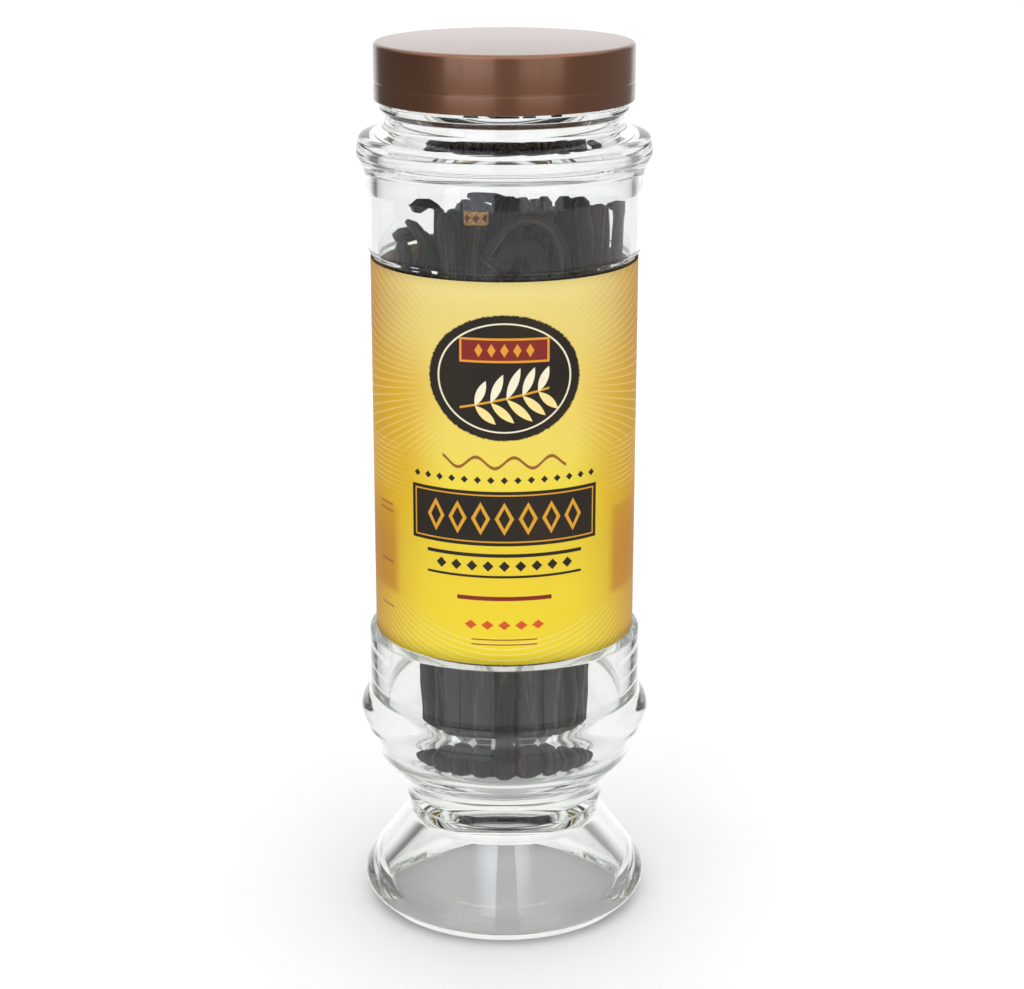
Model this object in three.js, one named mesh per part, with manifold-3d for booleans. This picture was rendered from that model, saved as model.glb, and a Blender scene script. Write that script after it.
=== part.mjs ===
// Jar of vanilla pods: a footed glass jar with a metal lid, a paper label wrapped
// round its body, a bundle of whole pods standing inside, and a small tie on one pod.
// Millimetres, +Z up, origin under the middle of the foot. The front looks along -Y.
import * as THREE from 'three';
import { mergeVertices } from 'three/addons/utils/BufferGeometryUtils.js';
import Module from 'manifold-3d';

const wasm = await Module();
wasm.setup();

// Driving dimensions
const LABEL_RADIUS = 36.5;
const LABEL_BOTTOM = 83;
const LABEL_TOP = 188.6;
const PAPER = 0.3;
const GAP = 0.3;
const TOTAL_HEIGHT = 246.3;
const LID_RADIUS = 35;
const LID_HEIGHT = 15.3;
const LID_METAL = 1;
const FOOT_RADIUS = 40.8;
const FOOT_RIM_HEIGHT = 5.4;
const WAIST_RADIUS = 27.4;
const WAIST_HEIGHT = 26.2;
const COLLAR_RADIUS = 28.3;
const BULGE_RADIUS = 42;
const BULGE_HEIGHT = 58.4;
const LOWER_BODY_RADIUS = 38.3;
const UPPER_BODY_RADIUS = 37.2;
const SHOULDER_RADIUS = 39.9;
const SHOULDER_HEIGHT = 218;
const NECK_RADIUS = 31.9;
const NECK_HEIGHT = 225.4;
const WALL = 3.1;
const FLOOR_HEIGHT = 41.6;
const DOME_HEIGHT = 32;

// Worked out from the driving dimensions
const PANEL_RADIUS = LABEL_RADIUS - PAPER - GAP;
const INSIDE_RADIUS = UPPER_BODY_RADIUS - WALL;
const MOUTH_RADIUS = NECK_RADIUS - 2.7;
const LID_BOTTOM = TOTAL_HEIGHT - LID_HEIGHT;
const LIP_HEIGHT = TOTAL_HEIGHT - LID_METAL - GAP;
const FINISH_RADIUS = NECK_RADIUS + 1.1;

// How finely round things are cut
const ROUND_SIDES = 40;
const ARC_STEP = THREE.MathUtils.degToRad(32);

// Pods: half width across, half thickness, and how the bundle stands. Above SWAY_FROM a
// pod's line swings aside and back, SWAY_TURN radians of the swing for each millimetre
const POD_HALF_WIDTH = 3.1;
const POD_HALF_THICKNESS = 2.3;
const POD_SIDES = 6;
const CROOK_STEP = 50;
const SLIM_CROOK = 0.38;
const SLIM_PLAIN = 0.15;
const POD_FLOOR = FLOOR_HEIGHT + GAP + 1;
const CORE_TOP = 178;
const CORE_SIDES = 18;
const SHOWN_FROM = 172;
const LINE_HEIGHTS = [100, 150, 172, 186];
const LEAST_STEP = 3;
const SWAY_FROM = 150;
const SWAY_TURN = 0.075;
const TIE = { at: 203.8, height: 3.8, inner: 2.4, outer: 3.2, sides: 12 };

const GLASS = new THREE.MeshStandardMaterial({ color: 0xe6ebe8, roughness: 0.05, metalness: 0 });
GLASS.transparent = true;
GLASS.opacity = 0.35;
const BRONZE = new THREE.MeshStandardMaterial({ color: 0x6a4f44, roughness: 0.35, metalness: 0.8 });
const PRINTED_PAPER = new THREE.MeshStandardMaterial({ color: 0xe5bb40, roughness: 0.6, metalness: 0 });
const POD_SKIN = new THREE.MeshStandardMaterial({ color: 0x2b2724, roughness: 0.5, metalness: 0 });
const RAFFIA = new THREE.MeshStandardMaterial({ color: 0xc08a4a, roughness: 0.7, metalness: 0 });

// One rounded corner: the arc that touches both sides of the corner b
function cornerArc(a, b, c, radius) {
  const back = new THREE.Vector2().subVectors(a, b).normalize();
  const ahead = new THREE.Vector2().subVectors(c, b).normalize();
  const inside = Math.acos(THREE.MathUtils.clamp(back.dot(ahead), -1, 1));
  const centre = back.clone().add(ahead).normalize().multiplyScalar(radius / Math.sin(inside / 2)).add(b);
  const start = back.clone().multiplyScalar(radius / Math.tan(inside / 2)).add(b).sub(centre);
  const end = ahead.clone().multiplyScalar(radius / Math.tan(inside / 2)).add(b).sub(centre);
  const sweep = Math.PI - inside;
  const steps = Math.max(1, Math.round(sweep / ARC_STEP));
  const points = [];
  for (let i = 0; i <= steps; i++) {
    const part = (i / steps) * sweep;
    const toStart = Math.sin(sweep - part) / Math.sin(sweep);
    const toEnd = Math.sin(part) / Math.sin(sweep);
    points.push(centre.clone().addScaledVector(start, toStart).addScaledVector(end, toEnd));
  }
  return points;
}

// An outline from its corners, each given as radius, height and rounding
function roundedOutline(corners) {
  const places = corners.map(([r, z]) => new THREE.Vector2(r, z));
  const points = [];
  corners.forEach(([, , rounding], i) => {
    if (rounding) points.push(...cornerArc(places[i - 1], places[i], places[i + 1], rounding));
    else points.push(places[i]);
  });
  return points;
}

// A turned solid about the Z axis
function turned(corners, sides = ROUND_SIDES) {
  const geometry = new THREE.LatheGeometry(roundedOutline(corners), sides);
  return geometry.rotateX(Math.PI / 2);
}

function namedMesh(name, geometry, material) {
  const mesh = new THREE.Mesh(geometry, material);
  mesh.name = name;
  return mesh;
}

// Underside of the glass: the hollow bell of the foot, open below
function footHollow() {
  return [
    [0, DOME_HEIGHT, 0],
    [11.2, DOME_HEIGHT, 23.5],
    [33, 6, 9],
    [33.6, 0, 0],
  ];
}

// Outside of the glass, from the resting ring up to the lip
function glassOutside() {
  return [
    [36.4, 0, 0.8],
    [FOOT_RADIUS + 1.5, FOOT_RIM_HEIGHT, 5],
    [WAIST_RADIUS, WAIST_HEIGHT, 4],
    [WAIST_RADIUS + 0.1, 29.6, 0],
    [COLLAR_RADIUS, 30.8, 0],
    [COLLAR_RADIUS, 33.6, 0],
    [29.2, 37, 4],
    [36.2, 45, 5],
    [BULGE_RADIUS, BULGE_HEIGHT, 6],
    [LOWER_BODY_RADIUS, 63.4, 5],
    [LOWER_BODY_RADIUS, LABEL_BOTTOM - 1.4, 0],
    [PANEL_RADIUS, LABEL_BOTTOM - 0.5, 0],
    [PANEL_RADIUS, LABEL_TOP + 1, 0],
    [UPPER_BODY_RADIUS, LABEL_TOP + 2.2, 0],
    [UPPER_BODY_RADIUS, 207, 8],
    [UPPER_BODY_RADIUS + 0.8, 213, 5],
    [SHOULDER_RADIUS + 0.2, SHOULDER_HEIGHT - 1, 2.4],
    [SHOULDER_RADIUS - 0.6, SHOULDER_HEIGHT + 3.8, 2.4],
    [NECK_RADIUS + 0.6, NECK_HEIGHT - 1.2, 1.6],
    [NECK_RADIUS, NECK_HEIGHT + 1.8, 0],
    [NECK_RADIUS + 1.6, LID_BOTTOM - 2.4, 0],
    [NECK_RADIUS + 1.6, LID_BOTTOM - 0.8, 0],
    [FINISH_RADIUS, LID_BOTTOM - 0.2, 0],
    [FINISH_RADIUS, LIP_HEIGHT, 1.2],
  ];
}

// Inside of the glass, from the mouth down to the floor
function glassInside() {
  return [
    [MOUTH_RADIUS, LIP_HEIGHT, 1.2],
    [MOUTH_RADIUS, NECK_HEIGHT - 0.5, 4],
    [INSIDE_RADIUS, SHOULDER_HEIGHT - 1, 6],
    [INSIDE_RADIUS, FLOOR_HEIGHT, 14],
    [0, FLOOR_HEIGHT, 0],
  ];
}

function makeJar() {
  const geometry = turned([...footHollow(), ...glassOutside(), ...glassInside()]);
  return namedMesh('jar', geometry, GLASS);
}

// Lid: a drawn metal cap with a fine groove round its skirt
function makeLid() {
  const groove = LID_BOTTOM + 4.9;
  const inner = LID_RADIUS - LID_METAL;
  const geometry = turned([
    [0, LIP_HEIGHT + GAP, 0],
    [inner, LIP_HEIGHT + GAP, 0.8],
    [inner, LID_BOTTOM, 0],
    [LID_RADIUS, LID_BOTTOM, 0.4],
    [LID_RADIUS, groove - 0.5, 0],
    [LID_RADIUS - 0.15, groove, 0],
    [LID_RADIUS, groove + 0.5, 0],
    [LID_RADIUS, TOTAL_HEIGHT, 1.2],
    [0, TOTAL_HEIGHT, 0],
  ]);
  return namedMesh('lid', geometry, BRONZE);
}

// Label: one sheet wrapped right round, its end lapped over its start at the back
function makeLabel() {
  const lapSides = 1;
  const backSide = ROUND_SIDES / 2;
  const ring = (radius) => (i) => {
    const angle = (i / ROUND_SIDES) * 2 * Math.PI - Math.PI / 2;
    return new THREE.Vector2(radius * Math.cos(angle), radius * Math.sin(angle));
  };
  const outer = [];
  for (let i = 0; i < ROUND_SIDES; i++) {
    const lapped = i >= backSide && i <= backSide + lapSides;
    if (i === backSide) outer.push(ring(LABEL_RADIUS)(i));
    outer.push(ring(lapped ? LABEL_RADIUS + PAPER : LABEL_RADIUS)(i));
    if (i === backSide + lapSides) outer.push(ring(LABEL_RADIUS)(i));
  }
  const inner = [];
  for (let i = 0; i < ROUND_SIDES; i++) inner.push(ring(LABEL_RADIUS - PAPER)(i));
  const section = new THREE.Shape(outer);
  section.holes.push(new THREE.Path(inner));
  const height = LABEL_TOP - LABEL_BOTTOM;
  const geometry = new THREE.ExtrudeGeometry(section, { depth: height, bevelEnabled: false });
  geometry.translate(0, 0, LABEL_BOTTOM);
  return namedMesh('label', geometry, PRINTED_PAPER);
}

// A repeatable draw, so that every build gives the same bundle
let drawState = 4711;
function draw(low, high) {
  drawState = (drawState * 16807) % 2147483647;
  return low + (high - low) * (drawState / 2147483647);
}

// Pods stand in four rings: how many, radius at the foot, radius at the top
const RINGS = [
  { count: 21, foot: 21.6, reach: 27.5 },
  { count: 15, foot: 15.4, reach: 19 },
  { count: 9, foot: 9.4, reach: 11.5 },
  { count: 5, foot: 3.6, reach: 4.5 },
];
const FIRST_ANGLE = 356;
const RING_TWIST = 7;

// The bundle's top: level, a little higher in front, falling away on its left, and
// nowhere above the highest
const CREST = { height: 209.6, slope: 0.17, left: -11, fall: 1.3, highest: 206.6 };

// Pods with a bend of their own, by ring and place in the ring. top: where the bend
// begins; heading: the way it bends; turn: how far; bend: its radius; tail: what
// is left straight after it; knob: how much thicker its end is; sway: how far its line
// swings aside; girth: its thickness beside the others
const CROOKS = {
  '0-0': { reach: 31.2, top: 201.5, heading: 180, turn: 85, bend: 2.4, tail: 0, knob: 0.55 },
  '0-1': { reach: 26, turn: 0 },
  '0-2': { reach: 26.5, turn: 0 },
  '0-3': { reach: 26.5, top: 194, heading: 188, turn: 140, bend: 8.5, tail: 9, sway: 0 },
  '0-4': { reach: 27, top: 192, heading: 192, turn: 150, bend: 4.4, tail: 8, sway: 0 },
  '0-5': { reach: 28, top: 187, heading: 170, turn: 60, bend: 6, tail: 2, sway: 0 },
  '0-6': { reach: 25, top: 208.6, turn: 0, tied: true, sway: 0, girth: 1 },
  '0-7': { reach: 26.5, top: 202, turn: 0 },
  '0-8': { reach: 27, top: 195, heading: 200, turn: 45, bend: 6, tail: 2 },
  '0-9': { reach: 28.6, top: 192.5, turn: 0 },
  '0-10': { reach: 28.5, top: 186, turn: 0 },
  '1-6': { reach: 20.5, top: 192, heading: 183, turn: 108, bend: 5, tail: 2.5, knob: 0.4 },
  '1-7': { reach: 17.5, top: 202.4, heading: 182, turn: 170, bend: 3, tail: 0, knob: 0.75 },
  '1-11': { reach: 17, top: 201.5, heading: 180, turn: 82, bend: 4, tail: 7 },
};
const HOOK_SHARE = 0.35;

function crestAt(x, y) {
  return CREST.height - CREST.slope * y - CREST.fall * Math.max(0, CREST.left - x);
}

// Every pod of the bundle, as numbers
function standPods() {
  const pods = [];
  RINGS.forEach(({ count, foot, reach }, ring) => {
    for (let k = 0; k < count; k++) {
      const around = FIRST_ANGLE - (k / count) * 360 - RING_TWIST * ring;
      const leans = reach + draw(-0.7, 0.7);
      const drop = draw(3, 8);
      const hooked = draw(0, 1) < HOOK_SHARE && ring === 0;
      const pod = {
        ring,
        around,
        foot,
        reach: leans,
        heading: around + 180 + draw(-60, 60),
        turn: hooked ? draw(50, 130) : 0,
        bend: draw(3.5, 5.5),
        tail: draw(0.5, 3),
        roll: draw(-35, 35),
        lift: ring === 0 ? draw(0.8, 2) : draw(0, 1.5),
        sway: draw(-3.6, 3.6),
        girth: draw(0.88, 1.14),
        knob: 0,
        ...CROOKS[`${ring}-${k}`],
      };
      const angle = THREE.MathUtils.degToRad(around);
      const crest = crestAt(pod.reach * Math.cos(angle), pod.reach * Math.sin(angle));
      pod.top ??= Math.min(CREST.highest, crest - drop - (hooked ? pod.bend : 0));
      pods.push(pod);
    }
  });
  return pods;
}

// The middle line of one pod: up from the floor, leaning out, then round its crook
function podLine(pod, lowest) {
  const angle = THREE.MathUtils.degToRad(pod.around);
  const start = POD_FLOOR + pod.lift;
  const at = (z) => {
    const part = (z - start) / (pod.top - start);
    const r = pod.foot + (pod.reach - pod.foot) * part ** 1.3;
    const aside = pod.sway * Math.sin(SWAY_TURN * Math.max(0, z - SWAY_FROM));
    const x = r * Math.cos(angle) - aside * Math.sin(angle);
    const y = r * Math.sin(angle) + aside * Math.cos(angle);
    return new THREE.Vector3(x, y, z);
  };
  const heights = [start, start + 4, ...LINE_HEIGHTS]
    .filter((z) => z >= lowest && z < pod.top - LEAST_STEP);
  const points = heights.map(at);
  const last = at(pod.top);
  points.push(last);
  if (!pod.turn) {
    points.push(at(pod.top + 2.5));
    return points;
  }
  const heading = THREE.MathUtils.degToRad(pod.heading);
  const side = new THREE.Vector3(Math.cos(heading), Math.sin(heading), 0);
  const steps = Math.ceil(pod.turn / CROOK_STEP);
  for (let i = 1; i <= steps; i++) {
    const turned = THREE.MathUtils.degToRad((pod.turn * i) / steps);
    const out = pod.bend * (1 - Math.cos(turned));
    const rise = pod.bend * Math.sin(turned);
    points.push(last.clone().addScaledVector(side, out).add(new THREE.Vector3(0, 0, rise)));
  }
  const end = THREE.MathUtils.degToRad(pod.turn);
  const tip = points[points.length - 1].clone();
  tip.addScaledVector(side, (pod.tail + 1.5) * Math.sin(end));
  tip.z += (pod.tail + 1.5) * Math.cos(end);
  points.push(tip);
  return points;
}

// How thick a pod is along its line, from 0 at the foot to 1 at the tip
function podTaper(pod, part) {
  const slimming = pod.turn || pod.tied ? SLIM_CROOK : SLIM_PLAIN;
  const foot = 0.95 + 0.05 * THREE.MathUtils.smoothstep(part, 0, 0.06);
  const neck = 1 - slimming * THREE.MathUtils.smoothstep(part, 0.78, 0.93);
  const knob = 1 + pod.knob * THREE.MathUtils.smoothstep(part, 0.95, 0.98);
  return pod.girth * foot * neck * knob;
}

// One pod: rings of points round its line, closed by a point at each end
function podGeometry(pod, line, wholeLength) {
  const positions = [];
  const index = [];
  const aim = THREE.MathUtils.degToRad(pod.around + 90 + pod.roll);
  let wide = new THREE.Vector3(Math.cos(aim), Math.sin(aim), 0);
  const total = lineLength(line);
  let done = 0;
  line.forEach((centre, i) => {
    const before = line[Math.max(0, i - 1)];
    const after = line[Math.min(line.length - 1, i + 1)];
    const along = new THREE.Vector3().subVectors(after, before).normalize();
    wide = wide.clone().addScaledVector(along, -wide.dot(along)).normalize();
    const thick = new THREE.Vector3().crossVectors(along, wide);
    done += centre.distanceTo(before);
    const size = podTaper(pod, 1 - (total - done) / wholeLength);
    if (i === 0) positions.push(...centre.clone().addScaledVector(along, -1));
    for (let s = 0; s < POD_SIDES; s++) {
      const angle = (s / POD_SIDES) * 2 * Math.PI;
      const point = centre.clone();
      point.addScaledVector(wide, POD_HALF_WIDTH * size * Math.cos(angle));
      point.addScaledVector(thick, POD_HALF_THICKNESS * size * Math.sin(angle));
      positions.push(...point);
    }
    if (i === line.length - 1) positions.push(...centre.clone().addScaledVector(along, 1));
  });
  const vertex = (ring, s) => 1 + ring * POD_SIDES + (s % POD_SIDES);
  const lastRing = line.length - 1;
  const tip = positions.length / 3 - 1;
  for (let s = 0; s < POD_SIDES; s++) {
    index.push(0, vertex(0, s + 1), vertex(0, s));
    for (let ring = 0; ring < lastRing; ring++) {
      index.push(vertex(ring, s), vertex(ring, s + 1), vertex(ring + 1, s + 1));
      index.push(vertex(ring, s), vertex(ring + 1, s + 1), vertex(ring + 1, s));
    }
    index.push(tip, vertex(lastRing, s), vertex(lastRing, s + 1));
  }
  const geometry = new THREE.BufferGeometry();
  geometry.setAttribute('position', new THREE.Float32BufferAttribute(positions, 3));
  geometry.setIndex(index);
  return geometry;
}

function lineLength(line) {
  let length = 0;
  for (let i = 1; i < line.length; i++) length += line[i].distanceTo(line[i - 1]);
  return length;
}

// A geometry as a solid that can be joined and cut
function toSolid(geometry) {
  const bare = geometry.clone();
  bare.deleteAttribute('normal');
  bare.deleteAttribute('uv');
  const merged = mergeVertices(bare);
  const mesh = new wasm.Mesh({
    numProp: 3,
    vertProperties: merged.attributes.position.array,
    triVerts: new Uint32Array(merged.index.array),
  });
  return new wasm.Manifold(mesh);
}

function toGeometry(solid) {
  const { vertProperties, triVerts } = solid.getMesh();
  const geometry = new THREE.BufferGeometry();
  geometry.setAttribute('position', new THREE.BufferAttribute(vertProperties, 3));
  geometry.setIndex(new THREE.BufferAttribute(triVerts, 1));
  return geometry;
}

// The closed middle of the bundle, hidden behind the outer ring of pods
function bundleCore() {
  const base = POD_FLOOR + 1;
  return turned([
    [0, base, 0],
    [20.4, base, 0],
    [21, 60, 0],
    [22.2, 100, 0],
    [23.8, 150, 0],
    [22, CORE_TOP, 0],
    [0, CORE_TOP, 0],
  ], CORE_SIDES);
}

// The band of the tie, or with a margin the room that it needs
function tieBand(place, margin) {
  const low = place.z - TIE.height / 2 - margin;
  const high = place.z + TIE.height / 2 + margin;
  const inner = TIE.inner - margin;
  const outer = TIE.outer + margin;
  const band = new THREE.LatheGeometry(
    [[inner, low], [outer, low], [outer, high], [inner, high], [inner, low]]
      .map(([r, z]) => new THREE.Vector2(r, z)),
    TIE.sides,
  );
  band.rotateX(Math.PI / 2);
  return band.translate(place.x, place.y, 0);
}

// The point of a line at one height
function placeAt(line, height) {
  const above = line.findIndex((point) => point.z > height);
  const low = line[above - 1];
  const high = line[above];
  return low.clone().lerp(high, (height - low.z) / (high.z - low.z));
}

function makePodsAndTie() {
  let bundle = toSolid(bundleCore());
  let tiePlace;
  standPods().forEach((pod) => {
    const whole = podLine(pod, 0);
    const shown = pod.ring === 0 ? whole : podLine(pod, SHOWN_FROM);
    if (pod.tied) tiePlace = placeAt(whole, TIE.at);
    bundle = bundle.add(toSolid(podGeometry(pod, shown, lineLength(whole))));
  });
  bundle = bundle.subtract(toSolid(tieBand(tiePlace, GAP)));
  const largest = bundle.decompose().sort((a, b) => b.volume() - a.volume())[0];
  return [
    namedMesh('pods', toGeometry(largest), POD_SKIN),
    namedMesh('tie', tieBand(tiePlace, 0), RAFFIA),
  ];
}

const jarOfPods = new THREE.Group();
jarOfPods.add(makeJar(), makeLid(), makeLabel(), ...makePodsAndTie());

export default jarOfPods;
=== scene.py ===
import math

import bpy
import numpy as np
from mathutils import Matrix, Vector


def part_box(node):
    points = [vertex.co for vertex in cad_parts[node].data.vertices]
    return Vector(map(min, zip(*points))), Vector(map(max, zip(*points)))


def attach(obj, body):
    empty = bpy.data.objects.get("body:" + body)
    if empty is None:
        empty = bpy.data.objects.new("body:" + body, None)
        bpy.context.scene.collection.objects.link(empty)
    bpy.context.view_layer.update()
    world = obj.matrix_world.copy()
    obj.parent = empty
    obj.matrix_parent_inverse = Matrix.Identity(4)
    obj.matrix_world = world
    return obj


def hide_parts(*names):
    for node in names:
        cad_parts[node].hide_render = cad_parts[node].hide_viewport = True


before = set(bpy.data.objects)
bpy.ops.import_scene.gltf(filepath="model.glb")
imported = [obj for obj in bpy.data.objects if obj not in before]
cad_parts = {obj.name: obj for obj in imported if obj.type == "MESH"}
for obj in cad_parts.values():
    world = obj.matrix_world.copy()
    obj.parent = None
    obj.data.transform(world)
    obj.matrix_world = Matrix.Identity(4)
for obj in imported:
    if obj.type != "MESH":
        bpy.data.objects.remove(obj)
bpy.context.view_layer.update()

# Units and the photograph's frame
MM = 0.001
IMAGE_WIDTH = 1024

# Sizes taken from the frame
jar_low, jar_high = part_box("jar")
lid_low, lid_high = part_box("lid")
label_low, label_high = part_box("label")
TOTAL_HEIGHT = lid_high.z / MM
LID_BOTTOM = lid_low.z / MM
LID_RADIUS = lid_high.x / MM
LIP_HEIGHT = jar_high.z / MM
LABEL_BOTTOM = label_low.z / MM
LABEL_TOP = label_high.z / MM
LABEL_RADIUS = label_high.x / MM

# The glass, in millimetres, as the CAD model has it
PAPER = 0.3
GAP = 0.3
LID_METAL = 1
FOOT_RADIUS = 40.8
FOOT_RIM_HEIGHT = 5.4
WAIST_RADIUS = 27.4
WAIST_HEIGHT = 26.2
COLLAR_RADIUS = 28.3
BULGE_RADIUS = 42
BULGE_HEIGHT = 58.4
LOWER_BODY_RADIUS = 38.3
UPPER_BODY_RADIUS = 37.2
SHOULDER_RADIUS = 39.9
SHOULDER_HEIGHT = 218
NECK_RADIUS = 31.9
NECK_HEIGHT = 225.4
WALL = 3.1
FLOOR_HEIGHT = 41.6
DOME_HEIGHT = 32
PANEL_RADIUS = LABEL_RADIUS - PAPER - GAP
INSIDE_RADIUS = UPPER_BODY_RADIUS - WALL
MOUTH_RADIUS = NECK_RADIUS - 2.7
FINISH_RADIUS = NECK_RADIUS + 1.1

# The label's print coordinates are millimetres divided by this
PRINT_SCALE = 100

# How finely round things are cut
ROUND_SIDES = 144
ARC_STEP = math.radians(7)


# Camera: the photograph's place, height and angle, with lengths in radii of the label
FOCAL_PIXELS = 2339.7
AXIS_OFFSET_PIXELS = 7.6
CAMERA_DISTANCE = 17.23
CAMERA_RISE = 3.448
CAMERA_PITCH = 17.17


def make_camera():
    distance = CAMERA_DISTANCE * LABEL_RADIUS
    height = LABEL_TOP + CAMERA_RISE * LABEL_RADIUS
    pitch = math.radians(CAMERA_PITCH)
    data = bpy.data.cameras.new("camera")
    data.sensor_width = 36
    data.lens = FOCAL_PIXELS / IMAGE_WIDTH * data.sensor_width
    data.shift_x = AXIS_OFFSET_PIXELS / IMAGE_WIDTH
    data.clip_start = 0.01
    data.clip_end = 50
    camera = bpy.data.objects.new("camera", data)
    camera.location = (0, -distance * MM, height * MM)
    camera.rotation_euler = (math.pi / 2 - pitch, 0, 0)
    bpy.context.scene.collection.objects.link(camera)
    bpy.context.scene.camera = camera


# Node helpers
class Shader:
    """A material's node tree, with short calls for the nodes that repeat."""

    def __init__(self, name):
        self.material = bpy.data.materials.new(name)
        self.material.use_nodes = True
        self.tree = self.material.node_tree
        self.surface = self.tree.nodes["Principled BSDF"]

    def set(self, **values):
        for name, value in values.items():
            self.surface.inputs[name.replace("_", " ")].default_value = value

    def node(self, kind, **settings):
        made = self.tree.nodes.new(kind)
        for name, value in settings.items():
            setattr(made, name, value)
        return made

    def put(self, value, socket):
        if isinstance(value, bpy.types.NodeSocket):
            self.tree.links.new(value, socket)
        else:
            socket.default_value = value

    def math(self, operation, a, b=0.0, clamp=False):
        made = self.node("ShaderNodeMath", operation=operation, use_clamp=clamp)
        self.put(a, made.inputs[0])
        self.put(b, made.inputs[1])
        return made.outputs[0]

    def mix(self, amount, a, b):
        made = self.node("ShaderNodeMix", data_type="RGBA")
        self.put(amount, made.inputs[0])
        self.put(a, made.inputs[6])
        self.put(b, made.inputs[7])
        return made.outputs[2]

    def ramp(self, value, stops):
        made = self.node("ShaderNodeValToRGB")
        elements = made.color_ramp.elements
        while len(elements) < len(stops):
            elements.new(0.5)
        for element, (place, colour) in zip(elements, stops):
            element.position = place
            element.color = colour
        self.put(value, made.inputs[0])
        return made.outputs[0]

    def coordinates(self, kind="Object", scale=(1, 1, 1)):
        source = self.node("ShaderNodeTexCoord").outputs[kind]
        mapping = self.node("ShaderNodeMapping")
        mapping.inputs["Scale"].default_value = scale
        self.put(source, mapping.inputs["Vector"])
        return mapping.outputs[0]

    def noise(self, scale, detail=3.0, vector=None, roughness=0.5):
        made = self.node("ShaderNodeTexNoise")
        made.inputs["Scale"].default_value = scale
        made.inputs["Detail"].default_value = detail
        made.inputs["Roughness"].default_value = roughness
        if vector is not None:
            self.put(vector, made.inputs["Vector"])
        return made.outputs["Fac"]

    def step(self, value, edge, soft):
        """0 below an edge and 1 above it, with a soft change between."""
        made = self.node("ShaderNodeMapRange", interpolation_type="SMOOTHSTEP")
        self.put(value, made.inputs["Value"])
        made.inputs["From Min"].default_value = edge - soft
        made.inputs["From Max"].default_value = edge + soft
        return made.outputs[0]

    def within(self, value, middle, half, soft):
        """1 within half of the middle, 0 outside."""
        apart = self.math("ABSOLUTE", self.math("SUBTRACT", value, middle))
        return self.math("SUBTRACT", 1.0, self.step(apart, half, soft))

    def repeat(self, value, spacing):
        """The distance to the nearest whole multiple of a spacing."""
        return self.math("PINGPONG", self.math("ADD", value, spacing * 100), spacing / 2)

    def length(self, a, b):
        squares = self.math("ADD", self.math("MULTIPLY", a, a), self.math("MULTIPLY", b, b))
        return self.math("SQRT", squares)

    def bump(self, height, strength, distance):
        made = self.node("ShaderNodeBump")
        made.inputs["Strength"].default_value = strength
        made.inputs["Distance"].default_value = distance
        self.put(height, made.inputs["Height"])
        self.put(made.outputs[0], self.surface.inputs["Normal"])
        return made


def colour(r, g, b):
    """A linear colour with full alpha, from the 0 to 255 values that a screen shows."""
    channels = []
    for value in (r, g, b):
        part = value / 255
        channels.append(part / 12.92 if part <= 0.04045 else ((part + 0.055) / 1.055) ** 2.4)
    return (*channels, 1)


# Materials: the glass takes light away with depth, density by the metre
GLASS_TINT = (0.95, 0.955, 0.945, 1)
GLASS_DEPTH_TINT = (0.84, 0.865, 0.82, 1)
GLASS_DEPTH_DENSITY = 14
BRONZE_DARK = (0.212, 0.086, 0.041, 1)
BRONZE_LIGHT = (0.274, 0.114, 0.056, 1)


def glass_material():
    shader = Shader("clear_glass")
    shader.set(
        Base_Color=GLASS_TINT,
        Roughness=0.0,
        IOR=1.5,
        Transmission_Weight=1.0,
    )
    depth = shader.node("ShaderNodeVolumeAbsorption")
    depth.inputs["Color"].default_value = GLASS_DEPTH_TINT
    depth.inputs["Density"].default_value = GLASS_DEPTH_DENSITY
    shader.put(depth.outputs[0], shader.tree.nodes["Material Output"].inputs["Volume"])
    ripple = shader.noise(38, 2.0, shader.coordinates(scale=(1, 1, 0.45)))
    shader.bump(ripple, 0.25, 0.0006)
    return shader.material


def bronze_material():
    shader = Shader("bronze_metal")
    fine = shader.noise(900, 2.0, shader.coordinates(scale=(1, 1, 6)))
    broad = shader.noise(60, 3.0, shader.coordinates())
    tint = shader.mix(broad, BRONZE_DARK, BRONZE_LIGHT)
    shader.put(tint, shader.surface.inputs["Base Color"])
    rough = shader.math("ADD", shader.math("MULTIPLY", fine, 0.1), 0.26)
    shader.put(rough, shader.surface.inputs["Roughness"])
    shader.set(Metallic=0.92, Coat_Weight=0.8, Coat_Roughness=0.12, Coat_IOR=1.55)
    shader.set(Specular_Tint=(0.62, 0.6, 0.58, 1))
    shader.bump(fine, 0.12, 0.0001)
    return shader.material


# Label print: fields of colour and simple shapes, u across from the front and v up, in mm
MEDALLION = {"u": 0, "v": 80, "wide": 21, "high": 17}
BAR_V = 87.5
SPRIG = {"v": 74.5, "slope": 0.22, "half": 12, "leaves": 5, "first": -9, "spacing": 4.2}
LEAF = {"length": 4.6, "shorter": 0.45, "half_width": 1.15, "spread": 0.95}
WAVE = {"v": 57, "half_u": 17, "swing": 1.5, "per_mm": 0.62, "half_v": 0.45}
BAND_V = 41.5
BACK_PANEL_V = 52
BACK_RULES_V = 51
SIDE_RULES_U = -39.5
CHARCOAL = (28, 27, 28)
CREAM = (246, 236, 206)
PALE_GOLD = (247, 226, 150)
GOLD = (222, 160, 44)
BROWN = (152, 92, 44)
RED_BROWN = (132, 34, 34)
ORANGE_RED = (214, 84, 42)
ORANGE = (232, 156, 52)
DULL_GOLD = (196, 132, 40)
DEEP_GOLD = (222, 168, 0)
# Tan for the label's sides: partly print, partly painted shade
TAN_SIDE_SHADE = (192, 124, 32)


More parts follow.
